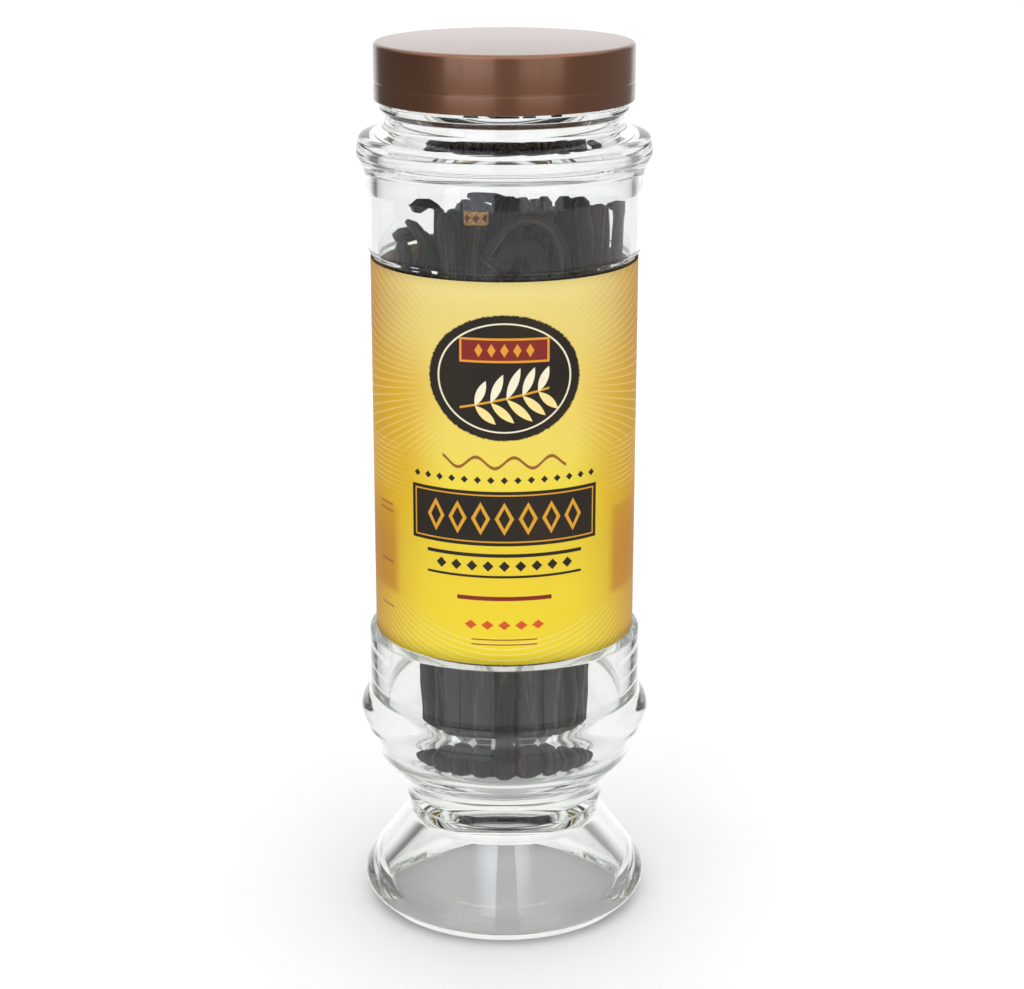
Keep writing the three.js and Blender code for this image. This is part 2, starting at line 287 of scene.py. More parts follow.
class Print:
    """Inks laid one over another on the label's paper."""

    def __init__(self, shader):
        self.shader = shader
        uv = shader.node("ShaderNodeUVMap", uv_map="print").outputs[0]
        split = shader.node("ShaderNodeSeparateXYZ")
        shader.put(uv, split.inputs[0])
        self.u = shader.math("MULTIPLY", split.outputs[0], PRINT_SCALE)
        self.v = shader.math("MULTIPLY", split.outputs[1], PRINT_SCALE)
        self.side = shader.math("ABSOLUTE", self.u)
        self.colour = None

    def lay(self, mask, ink, strength=1.0):
        if strength != 1.0:
            mask = self.shader.math("MULTIPLY", mask, strength)
        self.colour = self.shader.mix(mask, self.colour, colour(*ink))

    def box(self, u, v, half_u, half_v, soft=0.08):
        across = self.shader.within(self.u, u, half_u, soft)
        up = self.shader.within(self.v, v, half_v, soft)
        return self.shader.math("MULTIPLY", across, up)

    def oval(self):
        """The distance from the medallion's middle, 1 on its edge."""
        s = self.shader
        across = s.math("SUBTRACT", self.u, MEDALLION["u"])
        up = s.math("SUBTRACT", self.v, MEDALLION["v"])
        across = s.math("DIVIDE", across, MEDALLION["wide"])
        return s.length(across, s.math("DIVIDE", up, MEDALLION["high"]))

    def lozenge_row(self, v, spacing, half_u, half_v, reach):
        """A row of lozenges at a height, out to its reach on both sides of the middle."""
        s = self.shader
        across = s.math("DIVIDE", s.repeat(self.u, spacing), half_u)
        up = s.math("DIVIDE", s.math("ABSOLUTE", s.math("SUBTRACT", self.v, v)), half_v)
        shape = s.math("SUBTRACT", 1.0, s.step(s.math("ADD", across, up), 1.0, 0.04))
        return s.math("MULTIPLY", shape, s.within(self.side, 0, reach, 0.08))

    def leaf(self, u, v, turn, half_length, half_width):
        """A slim pointed leaf."""
        s = self.shader
        du = s.math("SUBTRACT", self.u, u)
        dv = s.math("SUBTRACT", self.v, v)
        cos, sin = math.cos(turn), math.sin(turn)
        along = s.math("ADD", s.math("MULTIPLY", du, cos), s.math("MULTIPLY", dv, sin))
        aside = s.math("SUBTRACT", s.math("MULTIPLY", dv, cos), s.math("MULTIPLY", du, sin))
        part = s.math("DIVIDE", along, half_length)
        room = s.math("MULTIPLY", s.math("SUBTRACT", 1.0, s.math("MULTIPLY", part, part)), half_width)
        return s.step(s.math("SUBTRACT", room, s.math("ABSOLUTE", aside)), 0.0, 0.06)


def print_ground(ink):
    """The paper's gold ground, paler at the top, turning tan at the sides: partly print, partly painted
    shade where the label turns away from the light.
    """
    s = ink.shader
    height = s.math("DIVIDE", ink.v, LABEL_TOP - LABEL_BOTTOM)
    ink.colour = s.ramp(height, [
        (0.0, colour(240, 214, 46)),
        (0.18, colour(240, 210, 52)),
        (0.3, colour(234, 204, 52)),
        (0.42, colour(240, 217, 54)),
        (0.58, colour(239, 215, 94)),
        (0.74, colour(239, 210, 108)),
        (0.92, colour(234, 211, 124)),
        (1.0, colour(240, 218, 138)),
    ])
    # Painted shade: the ground darkens to tan towards the label's sides as its curve turns from the light;
    # round the back it stays as tan print
    ink.lay(s.step(ink.side, 37, 19), TAN_SIDE_SHADE, 0.9)
    panel = s.math("MULTIPLY", s.step(ink.side, 34, 2.5), s.within(ink.v, 28, 12.5, 1.2))
    ink.lay(panel, DULL_GOLD, 0.8)
    for u, strength in ((-44, 0.7), (47, 0.5)):
        patch = s.math("MULTIPLY", s.within(ink.u, u, 21, 9), s.within(ink.v, 60, 22, 10))
        ink.lay(patch, DEEP_GOLD, strength)
    for v in (40.5, 38.6, 24, 11):
        ink.lay(ink.box(SIDE_RULES_U, v, 3.6, 0.32), BROWN, 0.8)


def print_fine_lines(ink):
    """Fine pale lines: level stripes at the sides, rays round the medallion, arcs below."""
    s = ink.shader
    stripes = s.math("LESS_THAN", s.repeat(ink.v, 1.5), 0.22)
    stripes = s.math("MULTIPLY", stripes, s.within(ink.v, 52, 7, 1.5))
    ink.lay(s.math("MULTIPLY", stripes, s.step(ink.side, 34, 8)), PALE_GOLD, 0.4)
    around = s.math("ARCTAN2", s.math("SUBTRACT", ink.v, MEDALLION["v"]), ink.u)
    rays = s.math("LESS_THAN", s.repeat(around, 0.052), 0.0055)
    rays = s.math("MULTIPLY", rays, s.step(ink.oval(), 1.25, 0.15))
    ink.lay(s.math("MULTIPLY", rays, s.step(ink.v, 58, 6)), PALE_GOLD, 0.35)
    reach = s.length(ink.u, s.math("SUBTRACT", ink.v, 62))
    arcs = s.math("LESS_THAN", s.repeat(reach, 1.6), 0.2)
    arcs = s.math("MULTIPLY", arcs, s.math("SUBTRACT", 1.0, s.step(ink.v, 14, 6)))
    ink.lay(s.math("MULTIPLY", arcs, s.step(reach, 55, 2)), PALE_GOLD, 0.5)


def print_medallion(ink):
    """A charcoal oval with a cream line round it and a small red bar."""
    s = ink.shader
    rough = s.math("MULTIPLY", s.noise(0.6, 3.0, s.coordinates("UV", (160, 160, 1))), 0.05)
    edge = s.math("ADD", ink.oval(), rough)
    ink.lay(s.math("SUBTRACT", 1.0, s.step(edge, 1.02, 0.012)), CHARCOAL)
    ink.lay(s.within(ink.oval(), 0.86, 0.012, 0.006), CREAM)
    ink.lay(ink.box(0, BAR_V, 12, 3.3), ORANGE)
    ink.lay(ink.box(0, BAR_V, 11.4, 2.7), RED_BROWN)
    ink.lay(ink.lozenge_row(BAR_V, 3.4, 1.1, 1.8, 8.5), ORANGE)


def print_sprig(ink):
    """A sprig of slim leaves in pairs along a rising stem."""
    s = ink.shader
    stem = s.math("ADD", SPRIG["v"], s.math("MULTIPLY", ink.u, SPRIG["slope"]))
    stem = s.within(s.math("SUBTRACT", ink.v, stem), 0, 0.3, 0.06)
    ink.lay(s.math("MULTIPLY", stem, s.within(ink.u, 0, SPRIG["half"], 0.1)), GOLD)
    for k in range(SPRIG["leaves"]):
        u = SPRIG["first"] + SPRIG["spacing"] * k
        v = SPRIG["v"] + SPRIG["slope"] * u
        length = LEAF["length"] - LEAF["shorter"] * abs(k - SPRIG["leaves"] // 2)
        for side, shade in ((1, CREAM), (-1, PALE_GOLD)):
            turn = SPRIG["slope"] + side * LEAF["spread"]
            place_u = u + 1.2 + math.cos(turn) * length
            place_v = v + math.sin(turn) * length
            ink.lay(ink.leaf(place_u, place_v, turn, length, LEAF["half_width"]), shade)


def print_bands(ink):
    """Ornament under the medallion: a wavy line, a charcoal band, rules and lozenges."""
    s = ink.shader
    wave = s.math("SINE", s.math("MULTIPLY", ink.u, WAVE["per_mm"]))
    wave = s.math("MULTIPLY", wave, WAVE["swing"])
    apart = s.math("SUBTRACT", s.math("SUBTRACT", ink.v, WAVE["v"]), wave)
    line = s.within(apart, 0, WAVE["half_v"], 0.08)
    ink.lay(s.math("MULTIPLY", line, s.within(ink.u, 0, WAVE["half_u"], 0.2)), BROWN)
    for half_u, half_v, shade in ((27, 7.6, CHARCOAL), (26, 6.7, GOLD), (25.6, 6.3, CHARCOAL)):
        ink.lay(ink.box(0, BAND_V, half_u, half_v), shade)
    ink.lay(ink.lozenge_row(BAND_V, 6.4, 2.6, 4.6, 22.6), GOLD)
    ink.lay(ink.lozenge_row(BAND_V, 6.4, 1.5, 2.9, 22.6), CHARCOAL)
    ink.lay(ink.lozenge_row(52.2, 3.6, 1.0, 1.0, 27), CHARCOAL)
    ink.lay(ink.lozenge_row(28.2, 4.4, 1.5, 1.5, 19.6), CHARCOAL)
    ink.lay(ink.lozenge_row(11.4, 4.6, 1.7, 1.3, 11.2), ORANGE_RED)
    rules = (
        (31.2, 22, 0.5, CHARCOAL),
        (25.2, 22, 0.35, CHARCOAL),
        (19, 13, 0.6, RED_BROWN),
        (7.2, 9, 0.18, BROWN),
        (5.8, 9, 0.18, BROWN),
    )
    for v, half_u, half_v, shade in rules:
        ink.lay(ink.box(0, v, half_u, half_v), shade)


def print_back(ink):
    """The back: a pale panel with a brown edge and thin rules, left blank."""
    s = ink.shader
    back = s.math("SUBTRACT", math.pi * LABEL_RADIUS, ink.side)
    for half_u, half_v, shade in ((20, 34, BROWN), (19.4, 33.4, CREAM)):
        across = s.within(back, 0, half_u, 0.08)
        ink.lay(s.math("MULTIPLY", across, s.within(ink.v, BACK_PANEL_V, half_v, 0.08)), shade)
    rules = s.within(s.repeat(ink.v, 6), 0, 0.16, 0.05)
    rules = s.math("MULTIPLY", rules, s.within(ink.v, BACK_RULES_V, 25, 0.1))
    ink.lay(s.math("MULTIPLY", rules, s.within(back, 0, 15, 0.1)), BROWN, 0.7)


def paper_material():
    shader = Shader("printed_paper")
    ink = Print(shader)
    print_ground(ink)
    print_fine_lines(ink)
    print_medallion(ink)
    print_sprig(ink)
    print_bands(ink)
    print_back(ink)
    tone = shader.noise(55, 2.0, shader.coordinates())
    aged = shader.mix(shader.math("MULTIPLY", tone, 0.05), ink.colour, colour(214, 170, 90))
    shader.put(aged, shader.surface.inputs["Base Color"])
    shader.set(Roughness=0.5, Specular_IOR_Level=0.18)
    fibres = shader.noise(1500, 3.0, shader.coordinates())
    shader.bump(fibres, 0.12, 0.00005)
    return shader.material


def pod_material():
    shader = Shader("pod_skin")
    uv = shader.node("ShaderNodeUVMap", uv_map="along")
    stretched = shader.node("ShaderNodeMapping")
    stretched.inputs["Scale"].default_value = (400, 26, 1)
    shader.put(uv.outputs[0], stretched.inputs["Vector"])
    furrows = shader.noise(1.0, 2.0, stretched.outputs[0], 0.45)
    blotches = shader.noise(90, 3.0, shader.coordinates())
    dark = shader.mix(blotches, colour(8, 7, 6), colour(20, 16, 14))
    # Painted highlight: pale brown streaks on the furrow crests stand in for the sheen of the oily skin
    ridge_highlight = shader.within(furrows, 0.58, 0.02, 0.04)
    skin = shader.mix(shader.math("MULTIPLY", ridge_highlight, blotches), dark, colour(124, 94, 70))
    shader.put(skin, shader.surface.inputs["Base Color"])
    shader.set(Roughness=0.5, Specular_IOR_Level=0.25)
    shader.bump(furrows, 0.6, 0.0003)
    return shader.material


def raffia_material():
    shader = Shader("raffia")
    uv = shader.node("ShaderNodeUVMap", uv_map="round")
    split = shader.node("ShaderNodeSeparateXYZ")
    shader.put(uv.outputs[0], split.inputs[0])
    u = shader.math("MULTIPLY", split.outputs[0], PRINT_SCALE)
    v = shader.math("MULTIPLY", split.outputs[1], PRINT_SCALE)
    fibres = shader.noise(700, 3.0, shader.coordinates(scale=(1, 1, 5)))
    straw = shader.ramp(fibres, [
        (0.35, colour(150, 96, 44)),
        (0.5, colour(206, 150, 78)),
        (0.7, colour(232, 196, 122)),
    ])
    up = shader.math("DIVIDE", shader.math("ABSOLUTE", v), 1.15)
    from_eye = shader.math("ADD", shader.repeat(u, 2.6), up)
    eye = shader.math("SUBTRACT", 1.0, shader.step(from_eye, 1.0, 0.15))
    shade = shader.mix(eye, straw, colour(112, 34, 26))
    shader.put(shade, shader.surface.inputs["Base Color"])
    shader.set(Roughness=0.7)
    shader.bump(fibres, 0.6, 0.0003)
    return shader.material


# Mesh helpers
def piece(name, vertices, faces, material, replaced):
    """A smooth-shaded mesh piece that stands for a CAD node."""
    mesh = bpy.data.meshes.new(name)
    mesh.from_pydata([tuple(v) for v in vertices], [], faces)
    mesh.validate()
    mesh.shade_smooth()
    made = bpy.data.objects.new(name, mesh)
    bpy.context.scene.collection.objects.link(made)
    made.data.materials.append(material)
    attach(made, "root")
    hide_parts(replaced)
    return made


def corner_arc(a, b, c, radius):
    """The arc that touches both sides of the corner b."""
    a, b, c = np.array(a), np.array(b), np.array(c)
    back = (a - b) / np.linalg.norm(a - b)
    ahead = (c - b) / np.linalg.norm(c - b)
    inside = math.acos(np.clip(back @ ahead, -1, 1))
    bisector = (back + ahead) / np.linalg.norm(back + ahead)
    centre = b + bisector * radius / math.sin(inside / 2)
    start = b + back * radius / math.tan(inside / 2) - centre
    end = b + ahead * radius / math.tan(inside / 2) - centre
    sweep = math.pi - inside
    steps = max(2, math.ceil(sweep / ARC_STEP))
    points = []
    for i in range(steps + 1):
        part = i / steps * sweep
        to_start = math.sin(sweep - part) / math.sin(sweep)
        to_end = math.sin(part) / math.sin(sweep)
        points.append(centre + start * to_start + end * to_end)
    return points


def rounded_outline(corners):
    """An outline from its corners, each given as radius, height and rounding."""
    points = []
    for i, (r, z, rounding) in enumerate(corners):
        if rounding:
            points.extend(corner_arc(corners[i - 1][:2], (r, z), corners[i + 1][:2], rounding))
        else:
            points.append(np.array((r, z), float))
    return points


def turned(outline, sides=ROUND_SIDES):
    """Vertices and faces of an outline turned about the Z axis; it starts and ends on the axis."""
    vertices = [(0, 0, outline[0][1] * MM)]
    rows = outline[1:-1]
    for r, z in rows:
        for s in range(sides):
            angle = s / sides * 2 * math.pi
            vertices.append((r * MM * math.cos(angle), r * MM * math.sin(angle), z * MM))
    vertices.append((0, 0, outline[-1][1] * MM))
    last = len(vertices) - 1
    faces = []
    for s in range(sides):
        after = (s + 1) % sides
        faces.append((0, 1 + after, 1 + s))
        for row in range(len(rows) - 1):
            low = 1 + row * sides
            high = low + sides
            faces.append((low + s, low + after, high + after, high + s))
        top = 1 + (len(rows) - 1) * sides
        faces.append((top + s, top + after, last))
    return vertices, faces


# Glass
def foot_hollow():
    return [
        (0, DOME_HEIGHT, 0),
        (11.2, DOME_HEIGHT, 23.5),
        (33, 6, 9),
        (33.6, 0, 0.5),
    ]


def glass_outside():
    return [
        (36.4, 0, 0.8),
        (FOOT_RADIUS + 1.5, FOOT_RIM_HEIGHT, 5),
        (WAIST_RADIUS, WAIST_HEIGHT, 4),
        (WAIST_RADIUS + 0.1, 29.6, 0.8),
        (COLLAR_RADIUS, 30.8, 0.6),
        (COLLAR_RADIUS, 33.6, 0.8),
        (29.2, 37, 4),
        (36.2, 45, 5),
        (BULGE_RADIUS, BULGE_HEIGHT, 6),
        (LOWER_BODY_RADIUS, 63.4, 5),
        (LOWER_BODY_RADIUS, LABEL_BOTTOM - 1.4, 0.5),
        (PANEL_RADIUS, LABEL_BOTTOM - 0.5, 0.4),
        (PANEL_RADIUS, LABEL_TOP + 1, 0.6),
        (UPPER_BODY_RADIUS, LABEL_TOP + 2.2, 0.6),
        (UPPER_BODY_RADIUS, 207, 8),
        (UPPER_BODY_RADIUS + 0.8, 213, 5),
        (SHOULDER_RADIUS + 0.2, SHOULDER_HEIGHT - 1, 2.4),
        (SHOULDER_RADIUS - 0.6, SHOULDER_HEIGHT + 3.8, 2.4),
        (NECK_RADIUS + 0.6, NECK_HEIGHT - 1.2, 1.6),
        (NECK_RADIUS, NECK_HEIGHT + 1.8, 0.5),
        (NECK_RADIUS + 1.6, LID_BOTTOM - 2.4, 0.6),
        (NECK_RADIUS + 1.6, LID_BOTTOM - 0.8, 0.4),
        (FINISH_RADIUS, LID_BOTTOM - 0.2, 0.2),
        (FINISH_RADIUS, LIP_HEIGHT, 1.2),
    ]


def glass_inside():
    return [
        (MOUTH_RADIUS, LIP_HEIGHT, 1.2),
        (MOUTH_RADIUS, NECK_HEIGHT - 0.5, 4),
        (INSIDE_RADIUS, SHOULDER_HEIGHT - 1, 6),
        (INSIDE_RADIUS, FLOOR_HEIGHT, 14),
        (0, FLOOR_HEIGHT, 0),
    ]


def make_jar():
    outline = rounded_outline(foot_hollow() + glass_outside() + glass_inside())
    vertices, faces = turned(outline)
    return piece("jar_glass", vertices, faces, glass_material(), "jar")


# Lid
GROOVE_RISE = 4.9
GROOVE_HALF = 0.5
GROOVE_DEPTH = 0.15


def make_lid():
    groove = LID_BOTTOM + GROOVE_RISE
    inner = LID_RADIUS - LID_METAL
    outline = rounded_outline([
        (0, LIP_HEIGHT + GAP, 0),
        (inner, LIP_HEIGHT + GAP, 0.8),
        (inner, LID_BOTTOM, 0.3),
        (LID_RADIUS, LID_BOTTOM, 0.4),
        (LID_RADIUS, groove - GROOVE_HALF, 0.3),
        (LID_RADIUS - GROOVE_DEPTH, groove, 0.3),
        (LID_RADIUS, groove + GROOVE_HALF, 0.3),
        (LID_RADIUS, TOTAL_HEIGHT, 1.2),
        (0, TOTAL_HEIGHT, 0),
    ])
    vertices, faces = turned(outline)
    return piece("lid_cap", vertices, faces, bronze_material(), "lid")


# Label: one paper wrap that laps over itself at the back, its last stretch lifted
LABEL_SIDES = 240
LABEL_ROWS = 24
LABEL_THICKNESS = 0.12
LABEL_LAP = 8
LIFT_LENGTH = 4
LIFT = 1.3


def label_points():
    """The wrap's inner then outer layer, row by row, and each point's place in the print."""
    full = 2 * math.pi + LABEL_LAP / LABEL_RADIUS
    lift_from = 2 * math.pi - LIFT_LENGTH / LABEL_RADIUS
    vertices = []
    places = []
    for depth in (LABEL_THICKNESS, 0):
        for j in range(LABEL_ROWS + 1):
            z = LABEL_BOTTOM + (LABEL_TOP - LABEL_BOTTOM) * j / LABEL_ROWS
            for i in range(LABEL_SIDES + 1):
                turn = full * i / LABEL_SIDES
                r = LABEL_RADIUS - depth + (LABEL_THICKNESS * LIFT if turn > lift_from else 0)
                angle = math.pi / 2 + turn
                vertices.append((r * MM * math.cos(angle), r * MM * math.sin(angle), z * MM))
                across = (turn - math.pi) * LABEL_RADIUS
                places.append((across / PRINT_SCALE, (z - LABEL_BOTTOM) / PRINT_SCALE))
    return vertices, places


def label_faces():
    """Both layers, then the top and bottom edges, then the two ends."""
    width = LABEL_SIDES + 1
    layer_size = width * (LABEL_ROWS + 1)
    faces = []
    for j in range(LABEL_ROWS):
        for i in range(LABEL_SIDES):
            a = j * width + i
            faces.append((a + 1, a, a + width, a + width + 1))
            b = a + layer_size
            faces.append((b, b + 1, b + width + 1, b + width))
    for i in range(LABEL_SIDES):
        faces.append((i, i + 1, i + 1 + layer_size, i + layer_size))
        top = LABEL_ROWS * width + i
        faces.append((top + 1, top, top + layer_size, top + 1 + layer_size))
    for j in range(LABEL_ROWS):
        a = j * width
        faces.append((a + width, a, a + layer_size, a + width + layer_size))
        b = j * width + LABEL_SIDES
        faces.append((b, b + width, b + width + layer_size, b + layer_size))
    return faces


def place_print(made, name, places):
    """Lays a map on a piece from each point's place."""
    layer = made.data.uv_layers.new(name=name)
    for loop in made.data.loops:
        layer.data[loop.index].uv = places[loop.vertex_index]


def make_label():
    vertices, places = label_points()
    made = piece("label_wrap", vertices, label_faces(), paper_material(), "label")
    place_print(made, "print", places)
    return made


# Pods: half width across, half thickness, and how the bundle stands, as the CAD model has
# them. Above SWAY_FROM a pod's line swings aside and back, SWAY_TURN radians for each mm
POD_HALF_WIDTH = 3.1
POD_HALF_THICKNESS = 2.3
SLIM_CROOK = 0.38
SLIM_PLAIN = 0.15
CROOK_STEP = 50
POD_FLOOR = FLOOR_HEIGHT + GAP + 1
FOOT_STEPS = [0, 4, 16]
LINE_HEIGHTS = [100, 150, 172, 186]
LEAST_STEP = 3
RINGS = [
    {"count": 21, "foot": 21.6, "reach": 27.5},
    {"count": 15, "foot": 15.4, "reach": 19},
    {"count": 9, "foot": 9.4, "reach": 11.5},
    {"count": 5, "foot": 3.6, "reach": 4.5},
]
FIRST_ANGLE = 356
RING_TWIST = 7
SWAY_FROM = 150
SWAY_TURN = 0.075

# The bundle's top: level, a little higher in front, falling away on its left
CREST = {"height": 209.6, "slope": 0.17, "left": -11, "fall": 1.3, "highest": 206.6}

# Pods with a bend of their own, by ring and place in the ring
CROOKS = {
    (0, 0): {"reach": 31.2, "top": 201.5, "heading": 180, "turn": 85, "bend": 2.4, "tail": 0, "knob": 0.55},
    (0, 1): {"reach": 26, "turn": 0},
    (0, 2): {"reach": 26.5, "turn": 0},
    (0, 3): {"reach": 26.5, "top": 194, "heading": 188, "turn": 140, "bend": 8.5, "tail": 9, "sway": 0},
    (0, 4): {"reach": 27, "top": 192, "heading": 192, "turn": 150, "bend": 4.4, "tail": 8, "sway": 0},
    (0, 5): {"reach": 28, "top": 187, "heading": 170, "turn": 60, "bend": 6, "tail": 2, "sway": 0},
    (0, 6): {"reach": 25, "top": 208.6, "turn": 0, "tied": True, "sway": 0, "girth": 1},
    (0, 7): {"reach": 26.5, "top": 202, "turn": 0},
    (0, 8): {"reach": 27, "top": 195, "heading": 200, "turn": 45, "bend": 6, "tail": 2},
    (0, 9): {"reach": 28.6, "top": 192.5, "turn": 0},
    (0, 10): {"reach": 28.5, "top": 186, "turn": 0},
    (1, 6): {"reach": 20.5, "top": 192, "heading": 183, "turn": 108, "bend": 5, "tail": 2.5, "knob": 0.4},
    (1, 7): {"reach": 17.5, "top": 202.4, "heading": 182, "turn": 170, "bend": 3, "tail": 0, "knob": 0.75},
    (1, 11): {"reach": 17, "top": 201.5, "heading": 180, "turn": 82, "bend": 4, "tail": 7},
}
HOOK_SHARE = 0.35

# The skin over a pod's line: how finely it is cut, the rounding of its ends, and the
# lobes that run along it with their height and greatest twist in radians for each mm
SKIN_SIDES = 20
SKIN_SPACING = 2
CURVE_STEPS = 24
END_ROUNDING = 2.8
LOBES = (2, 3, 5, 8)
LOBE_HEIGHT = 0.06
LOBE_TWIST = 0.05
ANY_PHASE = 6.28


class Draws:
    """A repeatable draw, the same one as in the CAD model."""

    def __init__(self, state):
        self.state = state

    def between(self, low, high):
        self.state = self.state * 16807 % 2147483647
        return low + (high - low) * (self.state / 2147483647)


def crest_at(x, y):
    return CREST["height"] - CREST["slope"] * y - CREST["fall"] * max(0, CREST["left"] - x)


def stand_pods():
    """Every pod of the bundle, as numbers."""
    draws = Draws(4711)
    draw = draws.between
    pods = []
    for ring, ring_size in enumerate(RINGS):
        for k in range(ring_size["count"]):
            around = FIRST_ANGLE - k / ring_size["count"] * 360 - RING_TWIST * ring
            leans = ring_size["reach"] + draw(-0.7, 0.7)
            drop = draw(3, 8)
            hooked = draw(0, 1) < HOOK_SHARE and ring == 0
            pod = {
                "ring": ring,
                "around": around,
                "foot": ring_size["foot"],
                "reach": leans,
                "heading": around + 180 + draw(-60, 60),
                "turn": draw(50, 130) if hooked else 0,
                "bend": draw(3.5, 5.5),
                "tail": draw(0.5, 3),
                "roll": draw(-35, 35),
                "lift": draw(0.8, 2) if ring == 0 else draw(0, 1.5),
                "sway": draw(-3.6, 3.6),
                "girth": draw(0.88, 1.14),
                "knob": 0,
            }
            pod.update(CROOKS.get((ring, k), {}))
            angle = math.radians(around)
            crest = crest_at(pod["reach"] * math.cos(angle), pod["reach"] * math.sin(angle))
            pod.setdefault("top", min(CREST["highest"], crest - drop - (pod["bend"] if hooked else 0)))
            pods.append(pod)
    return pods


def pod_line(pod):
    """The middle line of one pod: up from the floor, leaning out, then round its crook."""
    angle = math.radians(pod["around"])
    start = POD_FLOOR + pod["lift"]

    def at(z):
        part = (z - start) / (pod["top"] - start)
        r = pod["foot"] + (pod["reach"] - pod["foot"]) * part ** 1.3
        aside = pod["sway"] * math.sin(SWAY_TURN * max(0, z - SWAY_FROM))
        return np.array((
            r * math.cos(angle) - aside * math.sin(angle),
            r * math.sin(angle) + aside * math.cos(angle),
            z,
        ))

    heights = [start + step for step in FOOT_STEPS] + LINE_HEIGHTS
    points = [at(z) for z in heights if z < pod["top"] - LEAST_STEP] + [at(pod["top"])]
    if not pod["turn"]:
        return points + [at(pod["top"] + 2.5)]
    heading = math.radians(pod["heading"])
    side = np.array((math.cos(heading), math.sin(heading), 0))
    up = np.array((0, 0, 1))
    last = points[-1]
    steps = math.ceil(pod["turn"] / CROOK_STEP)
    for i in range(1, steps + 1):
        turned_by = math.radians(pod["turn"] * i / steps)
        out = pod["bend"] * (1 - math.cos(turned_by))
        rise = pod["bend"] * math.sin(turned_by)
        points.append(last + side * out + up * rise)
    end = math.radians(pod["turn"])
    tail = pod["tail"] + 1.5
    points.append(points[-1] + side * tail * math.sin(end) + up * tail * math.cos(end))
    return points


def smooth_line(points, spacing):
    """Points evenly spaced along a smooth curve through the given ones."""
    padded = [2 * points[0] - points[1]] + points + [2 * points[-1] - points[-2]]
    dense = []
    for i in range(1, len(padded) - 2):
        before, a, b, after = padded[i - 1:i + 3]
        for t in np.linspace(0, 1, CURVE_STEPS, endpoint=False):
            pull = (b - before) * 0.5 * (t - 2 * t ** 2 + t ** 3)
            push = (after - a) * 0.5 * (t ** 3 - t ** 2)
            blend = 3 * t ** 2 - 2 * t ** 3
            dense.append(a * (1 - blend) + b * blend + pull + push)
    dense.append(points[-1])
    dense = np.array(dense)
    lengths = np.concatenate([[0], np.cumsum(np.linalg.norm(np.diff(dense, axis=0), axis=1))])
    count = max(8, round(lengths[-1] / spacing))
    wanted = np.linspace(0, lengths[-1], count + 1)
    return np.stack([np.interp(wanted, lengths, dense[:, k]) for k in range(3)], axis=1), wanted


def smoothstep(value, low, high):
    part = min(1, max(0, (value - low) / (high - low)))
    return part * part * (3 - 2 * part)


def pod_size(pod, length, total, waves):
    """How thick a pod is at a length along it, beside its full size."""
    part = length / total
    slimming = SLIM_CROOK if pod["turn"] or pod.get("tied") else SLIM_PLAIN
    size = 0.95 + 0.05 * smoothstep(part, 0, 0.06)
    size *= 1 - slimming * smoothstep(part, 0.78, 0.93)
    size *= pod["girth"] * (1 + pod["knob"] * smoothstep(part, 0.95, 0.98))
    near_end = min(length + 0.5, total - length + 0.3)
    if near_end < END_ROUNDING:
        size *= math.sqrt(1 - (1 - near_end / END_ROUNDING) ** 2)
    return size * (1 + 0.07 * math.sin(length * 0.13 + waves[0]) + 0.05 * math.sin(length * 0.47 + waves[2]))


def pod_skin(pod, line, lengths, draws):
    """Rings of points round a pod's line."""
    aim = math.radians(pod["around"] + 90 + pod["roll"])
    wide = np.array((math.cos(aim), math.sin(aim), 0))
    lobes = [
        (k, draws.between(0, ANY_PHASE), draws.between(-LOBE_TWIST, LOBE_TWIST)) for k in LOBES
    ]
    waves = [draws.between(0, ANY_PHASE) for _ in range(3)]
    points = []
    for i, (centre, length) in enumerate(zip(line, lengths)):
        along = line[min(i + 1, len(line) - 1)] - line[max(i - 1, 0)]
        along /= np.linalg.norm(along)
        wide = wide - along * (wide @ along)
        wide /= np.linalg.norm(wide)
        thick = np.cross(along, wide)
        size = pod_size(pod, length, lengths[-1], waves)
        drift = 0.7 * math.sin(length * 0.19 + waves[1]) * smoothstep(length / lengths[-1], 0, 0.2)
        for s in range(SKIN_SIDES):
            angle = s / SKIN_SIDES * 2 * math.pi
            relief = 1
            for k, phase, twist in lobes:
                relief += LOBE_HEIGHT * math.cos(k * angle + phase + twist * length)
            point = centre + wide * (drift + POD_HALF_WIDTH * size * relief * math.cos(angle))
            point = point + thick * POD_HALF_THICKNESS * size * relief * math.sin(angle)
            points.append(point * MM)
    return points


def skin_faces(first, lengths, offset):
    """A pod's faces, closed at both ends, and the place of each corner on its skin."""
    faces = []
    places = []
    across = POD_HALF_WIDTH * 2 * math.pi * MM
    last = len(lengths) - 1
    for ring in range(last):
        for s in range(SKIN_SIDES):
            low = first + ring * SKIN_SIDES
            high = low + SKIN_SIDES
            after = (s + 1) % SKIN_SIDES
            faces.append((low + s, low + after, high + after, high + s))
            for corner, row in ((s, ring), (s + 1, ring), (s + 1, ring + 1), (s, ring + 1)):
                places.append((offset + corner / SKIN_SIDES * across, offset + lengths[row] * MM))
    faces.append(tuple(first + s for s in reversed(range(SKIN_SIDES))))
    places.extend([(offset, offset)] * SKIN_SIDES)
    faces.append(tuple(first + last * SKIN_SIDES + s for s in range(SKIN_SIDES)))
    places.extend([(offset, offset + lengths[-1] * MM)] * SKIN_SIDES)
    return faces, places


